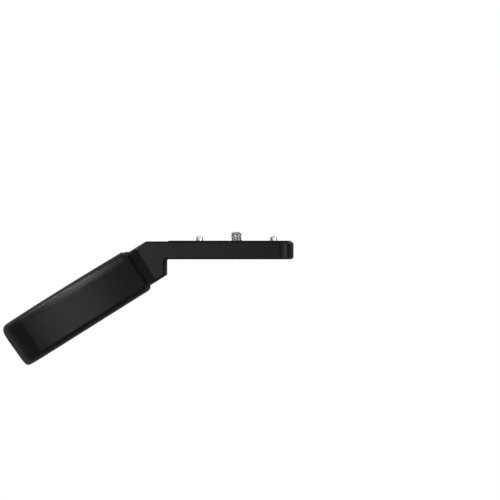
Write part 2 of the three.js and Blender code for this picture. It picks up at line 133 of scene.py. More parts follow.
class Formula:
    """A number or a field in a node tree, so that a rule can be written as a sum."""

    def __init__(self, tree: bpy.types.NodeTree, socket: bpy.types.NodeSocket) -> None:
        """Wraps an output socket of the tree."""
        self.tree = tree
        self.socket = socket

    def apply(self, operation: str, *others: Formula | float) -> Formula:
        """Adds one math node.

        Args:
            operation: The node's operation.
            others: Its further inputs, after this value.

        Returns:
            The node's result.
        """
        node = self.tree.nodes.new("ShaderNodeMath")
        node.operation = operation
        self.tree.links.new(self.socket, node.inputs[0])
        for place, other in enumerate(others, start=1):
            if isinstance(other, Formula):
                self.tree.links.new(other.socket, node.inputs[place])
            else:
                node.inputs[place].default_value = other
        return Formula(self.tree, node.outputs[0])

    def __add__(self, other: Formula | float) -> Formula:
        """The sum."""
        return self.apply("ADD", other)

    def __sub__(self, other: Formula | float) -> Formula:
        """The difference."""
        return self.apply("SUBTRACT", other)

    def __mul__(self, other: Formula | float) -> Formula:
        """The product."""
        return self.apply("MULTIPLY", other)

    def __truediv__(self, other: Formula | float) -> Formula:
        """The quotient."""
        return self.apply("DIVIDE", other)

    def __mod__(self, other: Formula | float) -> Formula:
        """The remainder, never below zero."""
        return self.apply("FLOORED_MODULO", other)

    def __abs__(self) -> Formula:
        """The size without its sign."""
        return self.apply("ABSOLUTE")

    def floor(self) -> Formula:
        """The whole number at or below the value."""
        return self.apply("FLOOR")

    def sin(self) -> Formula:
        """The sine of an angle in radians."""
        return self.apply("SINE")

    def cos(self) -> Formula:
        """The cosine of an angle in radians."""
        return self.apply("COSINE")

    def sign(self) -> Formula:
        """Minus one, zero or one."""
        return self.apply("SIGN")

    def least(self, other: Formula | float) -> Formula:
        """The smaller of two values."""
        return self.apply("MINIMUM", other)

    def most(self, other: Formula | float) -> Formula:
        """The larger of two values."""
        return self.apply("MAXIMUM", other)

    def into(self, socket: bpy.types.NodeSocket) -> None:
        """Links the value to an input."""
        self.tree.links.new(self.socket, socket)


class ShapeTree:
    """A Geometry Nodes tree with named inputs, and the settings that one piece gives them."""

    def __init__(self, name: str) -> None:
        """Makes the tree with its geometry input and output.

        Args:
            name: The tree's name.
        """
        self.tree = bpy.data.node_groups.new(name, "GeometryNodeTree")
        sockets = self.tree.interface
        sockets.new_socket("Geometry", in_out="INPUT", socket_type="NodeSocketGeometry")
        sockets.new_socket("Geometry", in_out="OUTPUT", socket_type="NodeSocketGeometry")
        self.entry = self.tree.nodes.new("NodeGroupInput")
        self.exit = self.tree.nodes.new("NodeGroupOutput")
        self.settings: dict[str, object] = {}

    def _input(self, name: str, kind: str, value: object) -> bpy.types.NodeSocket:
        """Adds a named input, and notes its setting by the socket's identifier.

        Args:
            name: The input's name.
            kind: The class of its socket.
            value: Its setting for this piece.

        Returns:
            The socket that brings it into the tree.
        """
        item = self.tree.interface.new_socket(name, in_out="INPUT", socket_type=kind)
        self.settings[item.identifier] = value
        return self.entry.outputs[name]

    def size(self, name: str, value: float) -> Formula:
        """A named length, angle or share."""
        return Formula(self.tree, self._input(name, "NodeSocketFloat", float(value)))

    def count(self, name: str, value: int) -> Formula:
        """A named whole number."""
        return Formula(self.tree, self._input(name, "NodeSocketInt", int(value)))

    def material(self, name: str, value: bpy.types.Material) -> bpy.types.NodeSocket:
        """A named material."""
        return self._input(name, "NodeSocketMaterial", value)

    def node(self, kind: str, **settings: object) -> bpy.types.Node:
        """Adds a node and sets its options.

        Args:
            kind: The node's class.
            settings: Its options, by name.

        Returns:
            The new node.
        """
        made = self.tree.nodes.new(kind)
        for option, value in settings.items():
            setattr(made, option, value)
        return made

    def link(self, start: bpy.types.NodeSocket, end: bpy.types.NodeSocket) -> None:
        """Joins two sockets."""
        self.tree.links.new(start, end)

    def index(self) -> Formula:
        """The number of each point."""
        return Formula(self.tree, self.node("GeometryNodeInputIndex").outputs[0])

    def tube(self, around: Formula, rows: Formula) -> bpy.types.NodeSocket:
        """An open tube of rows of points, which a rule then puts in place.

        Args:
            around: The number of points in a row.
            rows: The number of rows.

        Returns:
            The tube, numbered row by row.
        """
        tube = self.node("GeometryNodeMeshCylinder", fill_type="NONE")
        around.into(tube.inputs["Vertices"])
        (rows - 1).into(tube.inputs["Side Segments"])
        return tube.outputs["Mesh"]

    def reader(self, row: Formula) -> Callable[[str], Formula]:
        """A way to read the sizes that the tree's seed holds.

        Args:
            row: The number of the seed's point.

        Returns:
            A function from a size's name to its value there.
        """

        def read(name: str) -> Formula:
            """One stored size.

            Args:
                name: The size's name.

            Returns:
                Its value at the seed's point.
            """
            stored = self.node("GeometryNodeInputNamedAttribute", data_type="FLOAT")
            stored.inputs["Name"].default_value = name
            sample = self.node("GeometryNodeSampleIndex", data_type="FLOAT", domain="POINT")
            self.link(self.entry.outputs["Geometry"], sample.inputs["Geometry"])
            self.link(stored.outputs["Attribute"], sample.inputs["Value"])
            row.into(sample.inputs["Index"])
            return Formula(self.tree, sample.outputs["Value"])

        return read

    def vector(self, *parts: Formula) -> bpy.types.NodeSocket:
        """A vector from its first parts.

        Args:
            parts: Up to three of them. The rest are zero.

        Returns:
            The vector.
        """
        joined = self.node("ShaderNodeCombineXYZ")
        for value, socket in zip(parts, joined.inputs):
            value.into(socket)
        return joined.outputs[0]

    def place(
        self, mesh: bpy.types.NodeSocket, x: Formula, y: Formula, z: Formula
    ) -> bpy.types.NodeSocket:
        """Puts every point of a mesh where a rule says.

        Args:
            mesh: The mesh.
            x: Each point's place along X.
            y: Each point's place along Y.
            z: Each point's place along Z.

        Returns:
            The moved mesh.
        """
        moved = self.node("GeometryNodeSetPosition")
        self.link(mesh, moved.inputs["Geometry"])
        self.link(self.vector(x, y, z), moved.inputs["Position"])
        return moved.outputs["Geometry"]

    def close(self, mesh: bpy.types.NodeSocket, material: bpy.types.Material) -> None:
        """Ends the tree: instances made real, poles and seams merged, and the material set.

        Args:
            mesh: What the tree has made.
            material: The material of all its faces.
        """
        merged = self.node("GeometryNodeMergeByDistance")
        merged.inputs["Distance"].default_value = MERGE_DISTANCE
        real = self.node("GeometryNodeRealizeInstances")
        painted = self.node("GeometryNodeSetMaterial")
        self.link(mesh, real.inputs[0])
        self.link(real.outputs[0], merged.inputs["Geometry"])
        self.link(merged.outputs[0], painted.inputs["Geometry"])
        self.link(self.material("Finish", material), painted.inputs["Material"])
        self.link(painted.outputs[0], self.exit.inputs[0])

    def grow(self, name: str, seed: bpy.types.Mesh) -> bpy.types.Object:
        """Runs the tree once and keeps its result as a plain mesh.

        Args:
            name: The piece's name.
            seed: The mesh that goes into the tree.

        Returns:
            The new object, at the origin, with no modifier.
        """
        start = bpy.data.objects.new(f"{name}_seed", seed)
        bpy.context.scene.collection.objects.link(start)
        modifier = start.modifiers.new("shape", "NODES")
        modifier.node_group = self.tree
        for identifier, value in self.settings.items():
            modifier[identifier] = value
        grown = evaluated_mesh(start)
        bpy.data.objects.remove(start)
        return as_piece(name, grown)


# Meshes


def evaluated_mesh(source: bpy.types.Object) -> bpy.types.Mesh:
    """The mesh of an object with its modifiers applied."""
    graph = bpy.context.evaluated_depsgraph_get()
    return bpy.data.meshes.new_from_object(source.evaluated_get(graph), depsgraph=graph)


def as_piece(name: str, mesh: bpy.types.Mesh) -> bpy.types.Object:
    """An object at the origin that holds a mesh.

    Args:
        name: The name of the object and the mesh.
        mesh: The mesh.

    Returns:
        The new object, in the scene.
    """
    mesh.name = name
    made = bpy.data.objects.new(name, mesh)
    bpy.context.scene.collection.objects.link(made)
    return made


def settle(piece: bpy.types.Object) -> None:
    """Applies a piece's modifiers to its mesh.

    Args:
        piece: The object, which gets a new mesh of the same name.
    """
    result = evaluated_mesh(piece)
    piece.modifiers.clear()
    old = piece.data
    piece.data = result
    bpy.data.meshes.remove(old)
    result.name = piece.name


def clear_slivers(mesh: bpy.types.Mesh) -> None:
    """Merges points that a rounding has put almost in one place, and drops the empty faces.

    Args:
        mesh: The mesh, which is changed.
    """
    work = bmesh.new()
    work.from_mesh(mesh)
    bmesh.ops.remove_doubles(work, verts=work.verts, dist=MERGE_DISTANCE)
    bmesh.ops.dissolve_degenerate(work, edges=work.edges, dist=MERGE_DISTANCE)
    work.to_mesh(mesh)
    work.free()


def face_out(mesh: bpy.types.Mesh) -> None:
    """Merges the doubles of a mesh built here and turns its faces out.

    Args:
        mesh: The mesh, which is changed.
    """
    work = bmesh.new()
    work.from_mesh(mesh)
    bmesh.ops.remove_doubles(work, verts=work.verts, dist=MERGE_DISTANCE)
    bmesh.ops.recalc_face_normals(work, faces=work.faces)
    work.to_mesh(mesh)
    work.free()


def smooth(piece: bpy.types.Object, sharp_angle: float = SHARP_ANGLE) -> None:
    """Shades a piece smooth, with its flat faces kept flat and its hard edges kept sharp.

    Args:
        piece: The object, whose mesh is changed.
        sharp_angle: The least angle of an edge that stays sharp.
    """
    piece.data.shade_smooth()
    piece.data.set_sharp_from_angle(angle=sharp_angle)
    modifier = piece.modifiers.new("shading", "WEIGHTED_NORMAL")
    modifier.mode = "FACE_AREA"
    modifier.weight = FLAT_FACE_WEIGHT
    modifier.keep_sharp = True
    settle(piece)


def round_edges(piece: bpy.types.Object, radius: float) -> None:
    """Rounds the hard edges of a piece.

    Args:
        piece: The object, whose mesh is changed.
        radius: The width of the rounding.
    """
    modifier = piece.modifiers.new("edges", "BEVEL")
    modifier.width = radius
    modifier.segments = ROUNDING_SEGMENTS
    modifier.limit_method = "ANGLE"
    modifier.angle_limit = HARD_ANGLE
    modifier.use_clamp_overlap = True
    modifier.miter_outer = "MITER_ARC"
    settle(piece)
    clear_slivers(piece.data)
    smooth(piece)


def copy_of_solid(node: str, name: str, radius: float) -> bpy.types.Object:
    """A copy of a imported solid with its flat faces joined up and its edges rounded.

    Args:
        node: The solid's name.
        name: The new piece's name.
        radius: The width of the rounding.

    Returns:
        The new piece.
    """
    mesh = bpy.data.objects[node].data.copy()
    work = bmesh.new()
    work.from_mesh(mesh)
    bmesh.ops.remove_doubles(work, verts=work.verts, dist=MERGE_DISTANCE)
    bmesh.ops.dissolve_limit(
        work, angle_limit=FLAT_ANGLE, verts=work.verts, edges=work.edges, delimit=set()
    )
    work.to_mesh(mesh)
    work.free()
    mesh.materials.clear()
    piece = as_piece(name, mesh)
    round_edges(piece, radius)
    return piece


def prism(outline: Sequence[tuple[float, float]], low: float, high: float) -> bpy.types.Mesh:
    """A closed mesh that stands on an outline.

    Args:
        outline: The corners of the outline, in order.
        low: The height of its foot.
        high: The height of its top.

    Returns:
        The new mesh, with its faces out.
    """
    work = bmesh.new()
    rings = [[work.verts.new((x, y, z)) for x, y in outline] for z in (low, high)]
    work.faces.new(rings[0])
    work.faces.new(rings[1])
    for place in range(len(outline)):
        after = (place + 1) % len(outline)
        work.faces.new((rings[0][place], rings[0][after], rings[1][after], rings[1][place]))
    mesh = bpy.data.meshes.new("prism")
    work.to_mesh(mesh)
    work.free()
    face_out(mesh)
    return mesh


def hexagon_reach(across_flats: float) -> float:
    """How far a hexagon's corners are from its middle."""
    return across_flats / 2 / math.cos(HEXAGON_HALF_ANGLE)


def hexagon(across_flats: float) -> list[tuple[float, float]]:
    """The corners of a hexagon.

    Args:
        across_flats: Its width between two flats.

    Returns:
        The six corners, the first on the X axis.
    """
    corner = hexagon_reach(across_flats)
    turns = [FULL_TURN * place / 6 for place in range(6)]
    return [(corner * math.cos(turn), corner * math.sin(turn)) for turn in turns]


def rectangle(length: float, width: float) -> list[tuple[float, float]]:
    """The corners of a rectangle about the origin."""
    x, y = length / 2, width / 2
    return [(-x, -y), (x, -y), (x, y), (-x, y)]


def cut(piece: bpy.types.Object, tool: bpy.types.Mesh, operation: str = "DIFFERENCE") -> None:
    """Cuts a mesh out of a piece, or keeps only what the two share.

    Args:
        piece: The object, whose mesh is changed.
        tool: The closed mesh that cuts. It is used up.
        operation: DIFFERENCE or INTERSECT.
    """
    holder = as_piece("cutter", tool)
    modifier = piece.modifiers.new("cut", "BOOLEAN")
    modifier.operation = operation
    modifier.solver = "EXACT"
    modifier.object = holder
    settle(piece)
    bpy.data.objects.remove(holder)


def stored_rows(rows: Sequence[object]) -> bpy.types.Mesh:
    """A seed mesh: one point for each dataclass in a row, which holds its fields as attributes.

    Args:
        rows: Dataclasses of one kind, with numbers as fields.

    Returns:
        The new mesh.
    """
    mesh = bpy.data.meshes.new("stored_rows")
    mesh.from_pydata([(place * MM, 0, 0) for place in range(len(rows))], [], [])
    for item in fields(rows[0]):
        stored = mesh.attributes.new(item.name, "FLOAT", "POINT")
        stored.data.foreach_set("value", [getattr(row, item.name) for row in rows])
    return mesh


# Finishes


@dataclass(frozen=True)
class Finish:
    """A finish, with its colour, its gloss and the grain of its surface."""

    name: str
    slot: Slot
    color: tuple[float, float, float]
    roughness: float
    specular: float = 0.5
    metallic: float = 0.0
    grain_size: float = 0.5 * MM
    grain_depth: float = 0.01 * MM
    roughness_spread: float = 0.08
    edge_roughness: float = 0.0
    color_spread: float = 0.25
    stain_size: float = 14 * MM
    lathe_pitch: float = 0.0
    lathe_depth: float = 0.0

    def material(self) -> bpy.types.Material:
        """The finish as a material, made once."""
        known = bpy.data.materials.get(self.name)
        return known or self._make()

    def _make(self) -> bpy.types.Material:
        """Builds the shader: a base with stains, a spread of gloss, and a grain in relief.

        Returns:
            The new material.
        """
        made = bpy.data.materials.new(self.name)
        made.use_nodes = True
        tree = made.node_tree
        shader = next(n for n in tree.nodes if n.type == "BSDF_PRINCIPLED")
        shader.inputs["Metallic"].default_value = self.metallic
        shader.inputs["Specular IOR Level"].default_value = self.specular
        place = tree.nodes.new("ShaderNodeTexCoord").outputs["Object"]
        stains = self._noise(tree, place, self.stain_size, STAIN_DETAIL)
        grain = self._noise(tree, place, self.grain_size, GRAIN_DETAIL)
        dark = [c * (1 - self.color_spread) for c in self.color]
        light = [c * (1 + self.color_spread) for c in self.color]
        tint = tree.nodes.new("ShaderNodeMix")
        tint.data_type = "RGBA"
        tint.inputs["A"].default_value = (*dark, 1)
        tint.inputs["B"].default_value = (*light, 1)
        stains.into(tint.inputs["Factor"])
        tree.links.new(tint.outputs["Result"], shader.inputs["Base Color"])
        gloss = (stains + grain - 1) * self.roughness_spread + self.roughness
        if self.edge_roughness:
            facing = tree.nodes.new("ShaderNodeLayerWeight")
            facing.inputs["Blend"].default_value = 0.5
            edge = Formula(tree, facing.outputs["Facing"])
            gloss = gloss + edge * edge * edge * edge * self.edge_roughness
        gloss.into(shader.inputs["Roughness"])
        relief = self._relief(tree, place, grain)
        bump = tree.nodes.new("ShaderNodeBump")
        bump.inputs["Distance"].default_value = 1
        relief.into(bump.inputs["Height"])
        tree.links.new(bump.outputs["Normal"], shader.inputs["Normal"])
        return made

    @staticmethod
    def _noise(
        tree: bpy.types.NodeTree, place: bpy.types.NodeSocket, size: float, detail: float
    ) -> Formula:
        """A noise of a given size.

        Args:
            tree: The material's node tree.
            place: The coordinates that it is drawn on.
            size: The size of its blots.
            detail: How many finer layers it has.

        Returns:
            The noise, from zero to one.
        """
        noise = tree.nodes.new("ShaderNodeTexNoise")
        noise.inputs["Scale"].default_value = 1 / size
        noise.inputs["Detail"].default_value = detail
        tree.links.new(place, noise.inputs["Vector"])
        return Formula(tree, noise.outputs["Fac"])

    def _relief(
        self, tree: bpy.types.NodeTree, place: bpy.types.NodeSocket, grain: Formula
    ) -> Formula:
        """The relief of the surface: its grain, and the lathe's rings where it has them.

        Args:
            tree: The material's node tree.
            place: The coordinates that it is drawn on.
            grain: The grain's noise.

        Returns:
            The height, in metres.
        """
        height = grain * self.grain_depth
        if not self.lathe_pitch:
            return height
        rings = tree.nodes.new("ShaderNodeTexWave")
        rings.wave_type = "RINGS"
        rings.rings_direction = "Z"
        rings.inputs["Scale"].default_value = 1 / self.lathe_pitch / FULL_TURN
        rings.inputs["Distortion"].default_value = 0
        tree.links.new(place, rings.inputs["Vector"])
        return height + Formula(tree, rings.outputs["Fac"]) * self.lathe_depth


COAT = Finish(
    name="satin_black_coat",
    slot=Slot.COAT,
    color=(0.003, 0.003, 0.0031),
    edge_roughness=1.5,
    roughness=0.26,
    specular=0.065,
    roughness_spread=0.03,
    grain_size=0.35 * MM,
    grain_depth=0.003 * MM,
)
GRIP_RUBBER = Finish(
    name="soft_grip_rubber",
    slot=Slot.GRIP,
    color=(0.002, 0.002, 0.002),
    edge_roughness=1.5,
    roughness=0.25,
    specular=0.075,
    roughness_spread=0.03,
    grain_size=0.25 * MM,
    grain_depth=0.002 * MM,
    stain_size=9 * MM,
)
PAD_RUBBER = Finish(
    name="seat_pad_rubber",
    slot=Slot.PAD,
    color=(0.005, 0.005, 0.005),
    roughness=0.8,
    specular=0.08,
    grain_size=0.4 * MM,
    grain_depth=0.02 * MM,
)
TURNED_STEEL = Finish(
    name="turned_steel",
    slot=Slot.STEEL,
    color=(0.32, 0.32, 0.33),
    roughness=0.3,
    metallic=1,
    grain_size=0.2 * MM,
    grain_depth=0.001 * MM,
    color_spread=0.06,
    lathe_pitch=0.09 * MM,
    lathe_depth=0.0015 * MM,
)
GROUND_STEEL = Finish(
    name="ground_steel",
    slot=Slot.STEEL,
    color=(0.34, 0.34, 0.35),
    roughness=0.26,
    metallic=1,
    grain_size=0.15 * MM,
    grain_depth=0.0008 * MM,
    color_spread=0.06,
)
SPRING_STEEL = Finish(
    name="oiled_spring_steel",
    slot=Slot.SPRING,
    color=(0.2, 0.2, 0.205),
    roughness=0.35,
    metallic=1,
    grain_size=0.3 * MM,
    grain_depth=0.002 * MM,
    color_spread=0.15,
)
NYLON = Finish(
    name="slip_washer_nylon",
    slot=Slot.NYLON,
    color=(0.72, 0.7, 0.64),
    roughness=0.5,
    grain_depth=0.004 * MM,
    color_spread=0.05,
)
CORE_PLASTIC = Finish(
    name="core_moulded_plastic",
    slot=Slot.CORE,
    color=(0.018, 0.018, 0.019),
    roughness=0.55,
    grain_size=0.4 * MM,
    grain_depth=0.008 * MM,
)
BRASS = Finish(
    name="machined_brass",
    slot=Slot.BRASS,
    color=(0.62, 0.45, 0.18),
    roughness=0.3,
    metallic=1,
    grain_size=0.3 * MM,
    grain_depth=0.002 * MM,
    color_spread=0.08,
)


def install(piece: bpy.types.Object, finish: Finish, body: Body, *nodes: str) -> None:
    """Gives a piece its finish, its body and the solids that it stands for.

    Args:
        piece: The finished mesh object, at the origin.
        finish: Its finish.
        body: The rigid body that it rides on.
        nodes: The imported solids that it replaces.
    """
    piece.data.materials.clear()
    piece.data.materials.append(finish.material())
    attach(piece, body.value)
    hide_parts(*nodes)
    log.info("%s: %d faces, on body %s", piece.name, len(piece.data.polygons), body.value)


def dress(node: str, finish: Finish) -> None:
    """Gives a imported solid, whose shape is right as it is, a finish.

    Args:
        node: The solid's name.
        finish: Its finish.
    """
    solid = bpy.data.objects[node]
    solid.data.materials.clear()
    solid.data.materials.append(finish.material())
    log.info("%s: packed solid, dressed", node)


# Turned parts


@dataclass(frozen=True)
class Stop:
    """A corner of a turned profile, with its rounding and the thread on the way to it."""

    radius: float
    height: float
    ease: float = 0.0
    thread: float = 0.0


@dataclass(frozen=True)
class TurnedRow:
    """One ring of a turned part, and how deep the thread cuts there."""

    radius: float
    height: float
    depth: float = 0.0


@dataclass
class TurnedPart:
    """A part turned about the Z axis, with a helical thread where its profile asks for one."""

    name: str
    finish: Finish
    stops: Sequence[Stop]
    pitch: float = 1.27 * MM
    around: int = 96
    rows_per_pitch: int = 18
    ease_steps: int = 5
    crest_share: float = 0.2

    def _corner(self, place: int) -> list[TurnedRow]:
        """The rings at one stop: its corner, or the curve that rounds it.

        Args:
            place: The stop's place in the profile.

        Returns:
            The rings, in the order of the profile.
        """
        stop = self.stops[place]
        if not stop.ease:
            return [TurnedRow(stop.radius, stop.height)]
        corner = Vector((stop.radius, stop.height))
        before, after = (self.stops[place + step] for step in (-1, 1))
        first = corner + (Vector((before.radius, before.height)) - corner).normalized() * stop.ease
        last = corner + (Vector((after.radius, after.height)) - corner).normalized() * stop.ease
        rings = []
        for step in range(self.ease_steps + 1):
            share = step / self.ease_steps
            point = first.lerp(corner, share).lerp(corner.lerp(last, share), share)
            rings.append(TurnedRow(point.x, point.y))
        return rings

    def _thread(self, start: TurnedRow, end: TurnedRow, depth: float) -> list[TurnedRow]:
        """The rings of a threaded stretch, which runs out at both its ends.

        Args:
            start: The ring before it.
            end: The ring after it.
            depth: The depth of the thread.

        Returns:
            The rings between the two.
        """
        length = abs(end.height - start.height)
        steps = math.ceil(length / self.pitch * self.rows_per_pitch)
        rings = []
        for step in range(1, steps):
            share = step / steps
            to_end = min(share, 1 - share) * length
            rings.append(
                TurnedRow(
                    start.radius + (end.radius - start.radius) * share,
                    start.height + (end.height - start.height) * share,
                    depth * min(to_end / (self.pitch / 2), 1),
                )
            )
        return rings

    def rows(self) -> list[TurnedRow]:
        """Every ring of the part.

        Returns:
            The rings, in the order of the profile.
        """
        rings: list[TurnedRow] = []
        for place, stop in enumerate(self.stops):
            corner = self._corner(place)
            if stop.thread:
                rings += self._thread(rings[-1], corner[0], stop.thread)
            rings += corner
        return rings

    def _tree(self, rows: int) -> ShapeTree:
        """A tree that turns the stored rings, and cuts the helix where they have a depth.

        Args:
            rows: The number of rings.

        Returns:
            The tree.
        """
        shape = ShapeTree("threaded_lathe")
        around = shape.count("Around", self.around)
        pitch = shape.size("Pitch", self.pitch)
        crest = shape.size("Crest share", self.crest_share)
        number = shape.index()
        turn = (number % around) / around
        read = shape.reader((number / around).floor())
        height = read("height")
        slope = abs((height / pitch - turn) % 1 * 2 - 1)
        groove = ((slope - crest) / (crest * -2 + 1)).least(1).most(0)
        radius = read("radius") - read("depth") * groove
        angle = turn * FULL_TURN
        tube = shape.tube(around, shape.count("Rows", rows))
        moved = shape.place(tube, radius * angle.cos(), radius * angle.sin(), height)
        shape.close(moved, self.finish.material())
        return shape

    def make(self) -> bpy.types.Object:
        """Turns the part.

        Returns:
            The new piece, about the Z axis.
        """
        rows = self.rows()
        piece = self._tree(len(rows)).grow(self.name, stored_rows(rows))
        face_out(piece.data)
        return piece


# Sub-assemblies


@dataclass
class MountingBlock:
    """The bent casting with its pad and its two locating pins."""

    edge_radius: float = 0.25 * MM
    pad_edge_radius: float = 0.15 * MM
    pin_tip: float = 0.5 * MM
    pin_ease: float = 0.12 * MM

    def casting(self) -> None:
        """The block, neck and tang in one piece."""
        piece = copy_of_solid("bracket", "bracket_casting", self.edge_radius)
        install(piece, COAT, Body.HANDLE, "bracket")

    def pad(self) -> None:
        """The rubber pad in the top of the block."""
        piece = copy_of_solid("seat_pad", "seat_pad_moulding", self.pad_edge_radius)
        install(piece, PAD_RUBBER, Body.HANDLE, "seat_pad")

    def pin(self, node: str) -> None:
        """One of the two locating pins, ground with a chamfered tip.

        Args:
            node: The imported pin's name.
        """
        low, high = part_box(node)
        radius = (high.x - low.x) / 2
        stops = (
            Stop(0, low.z),
            Stop(radius, low.z, self.pin_ease),
            Stop(radius, high.z - self.pin_tip, self.pin_ease),
            Stop(radius - self.pin_tip, high.z, self.pin_ease),
            Stop(0, high.z),
        )
        piece = TurnedPart(f"{node}_ground", GROUND_STEEL, stops).make()
        piece.data.transform(Matrix.Translation(((high.x + low.x) / 2, 0, 0)))
        smooth(piece)
        install(piece, GROUND_STEEL, Body.HANDLE, node)

    def build(self) -> None:
        """Makes the casting and what is fixed in it."""
        self.casting()
        self.pad()
        self.pin("locating_pin_front")
        self.pin("locating_pin_rear")


@dataclass
class CouplingScrew:
    """The captive screw, with a threaded stud above and a tapped, slotted head below."""

    stud_radius: float = 3.15 * MM
    stud_tip: float = 0.9 * MM
    thread_depth: float = 0.62 * MM
    head_top: float = -4.4 * MM
    head_chamfer: float = 0.6 * MM
    bore_radius: float = 3.2 * MM
    bore_depth: float = 4.3 * MM
    bore_chamfer: float = 0.5 * MM
    slot_width: float = 2 * MM
    slot_depth: float = 1.5 * MM
    groove_radius: float = 2.45 * MM
    groove_clearance: float = 0.25 * MM
    edge_radius: float = 0.12 * MM
    washer_edge_radius: float = 0.08 * MM

    def clip(self) -> None:
        """The snap-on clip in the screw's groove."""
        piece = copy_of_solid("retaining_clip", "retaining_clip_spring", self.edge_radius)
        install(piece, SPRING_STEEL, Body.CLIP, "retaining_clip")

    def washer(self) -> None:
        """The slip washer under the head."""
        piece = copy_of_solid("thrust_washer", "thrust_washer_slip", self.washer_edge_radius)
        install(piece, NYLON, Body.CLIP, "thrust_washer")

    def _profile(self) -> list[Stop]:
        """The screw's profile, from the floor of its bore down, round the head and up the stud.

        Returns:
            The corners of the profile.
        """
        low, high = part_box("coupling_screw")
        clip_low, clip_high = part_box("retaining_clip")
        head_radius, bottom, top = high.x, low.z, high.z
        floor = bottom + self.bore_depth
        groove_low = clip_low.z - self.groove_clearance
        groove_high = clip_high.z + self.groove_clearance
        edge = self.edge_radius
        return [
            Stop(0, floor + self.bore_chamfer),
            Stop(self.bore_radius - self.thread_depth, floor),
            Stop(self.bore_radius, floor - self.bore_chamfer),
            Stop(self.bore_radius, bottom + self.bore_chamfer, thread=self.thread_depth),
            Stop(self.bore_radius + self.bore_chamfer, bottom, edge),
            Stop(head_radius - self.head_chamfer, bottom, edge),
            Stop(head_radius, bottom + self.head_chamfer, edge),
            Stop(head_radius, self.head_top, edge),
            Stop(self.stud_radius, self.head_top, edge),
            Stop(self.stud_radius, groove_low, edge),
            Stop(self.groove_radius, groove_low, edge),
            Stop(self.groove_radius, groove_high, edge),
            Stop(self.stud_radius, groove_high, edge),
            Stop(self.stud_radius, top - self.stud_tip, thread=self.thread_depth),
            Stop(self.stud_radius - self.stud_tip, top, edge),
            Stop(0, top),
        ]

    def screw(self) -> None:
        """The screw itself, with its threads and the slot across its head."""
        low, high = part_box("coupling_screw")
        piece = TurnedPart("coupling_screw_turned", TURNED_STEEL, self._profile()).make()
        past_both_sides = 3 * high.x
        slot = rectangle(past_both_sides, self.slot_width)
        cut(piece, prism(slot, low.z - self.slot_depth, low.z + self.slot_depth))
        smooth(piece, TURNED_SHARP_ANGLE)
        install(piece, TURNED_STEEL, Body.SCREW, "coupling_screw")

    def build(self) -> None:
        """Makes the screw and what keeps it in the block."""
        self.clip()
        self.washer()
        self.screw()


@dataclass
class GripFrame:
    """Where the grip is: its origin is on the neck's middle line, square below the knee."""

    bend: float = math.radians(32)
    knee_x: float = -48.1 * MM
    block_top: float = -0.4 * MM
    neck_thickness: float = 20.75 * MM

    def matrix(self) -> Matrix:
        """Where the grip's own frame stands, with its -X down the grip.

        Returns:
            The transform from that frame to the object's.
        """
        half = self.neck_thickness / 2
        across = self.knee_x + math.sin(self.bend) * half
        up = self.block_top - math.cos(self.bend) * half
        return Matrix.Translation((across, 0, up)) @ Matrix.Rotation(-self.bend, 4, "Y")

    def span(self, node: str) -> tuple[Vector, Vector]:
        """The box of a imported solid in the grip's own frame.

        Args:
            node: The solid's name.

        Returns:
            The lowest and the highest corner.
        """
        back = self.matrix().inverted()
        points = [back @ v.co for v in bpy.data.objects[node].data.vertices]
        low = Vector(min(p[axis] for p in points) for axis in range(3))
        high = Vector(max(p[axis] for p in points) for axis in range(3))
        return low, high


@dataclass(frozen=True)
class Section:
    """One section of the sleeve: where it is, its half sizes, its corner radii and its lean."""

    along: float
    half_width: float
    high: float
    low: float
    top_radius: float
    bottom_radius: float
    lean: float

    def shrunk(self, share: float) -> Section:
        """The same section at a share of its size, in the same plane."""
        sizes = (self.half_width, self.high, self.low, self.top_radius, self.bottom_radius)
        return Section(self.along, *(size * share for size in sizes), self.lean)


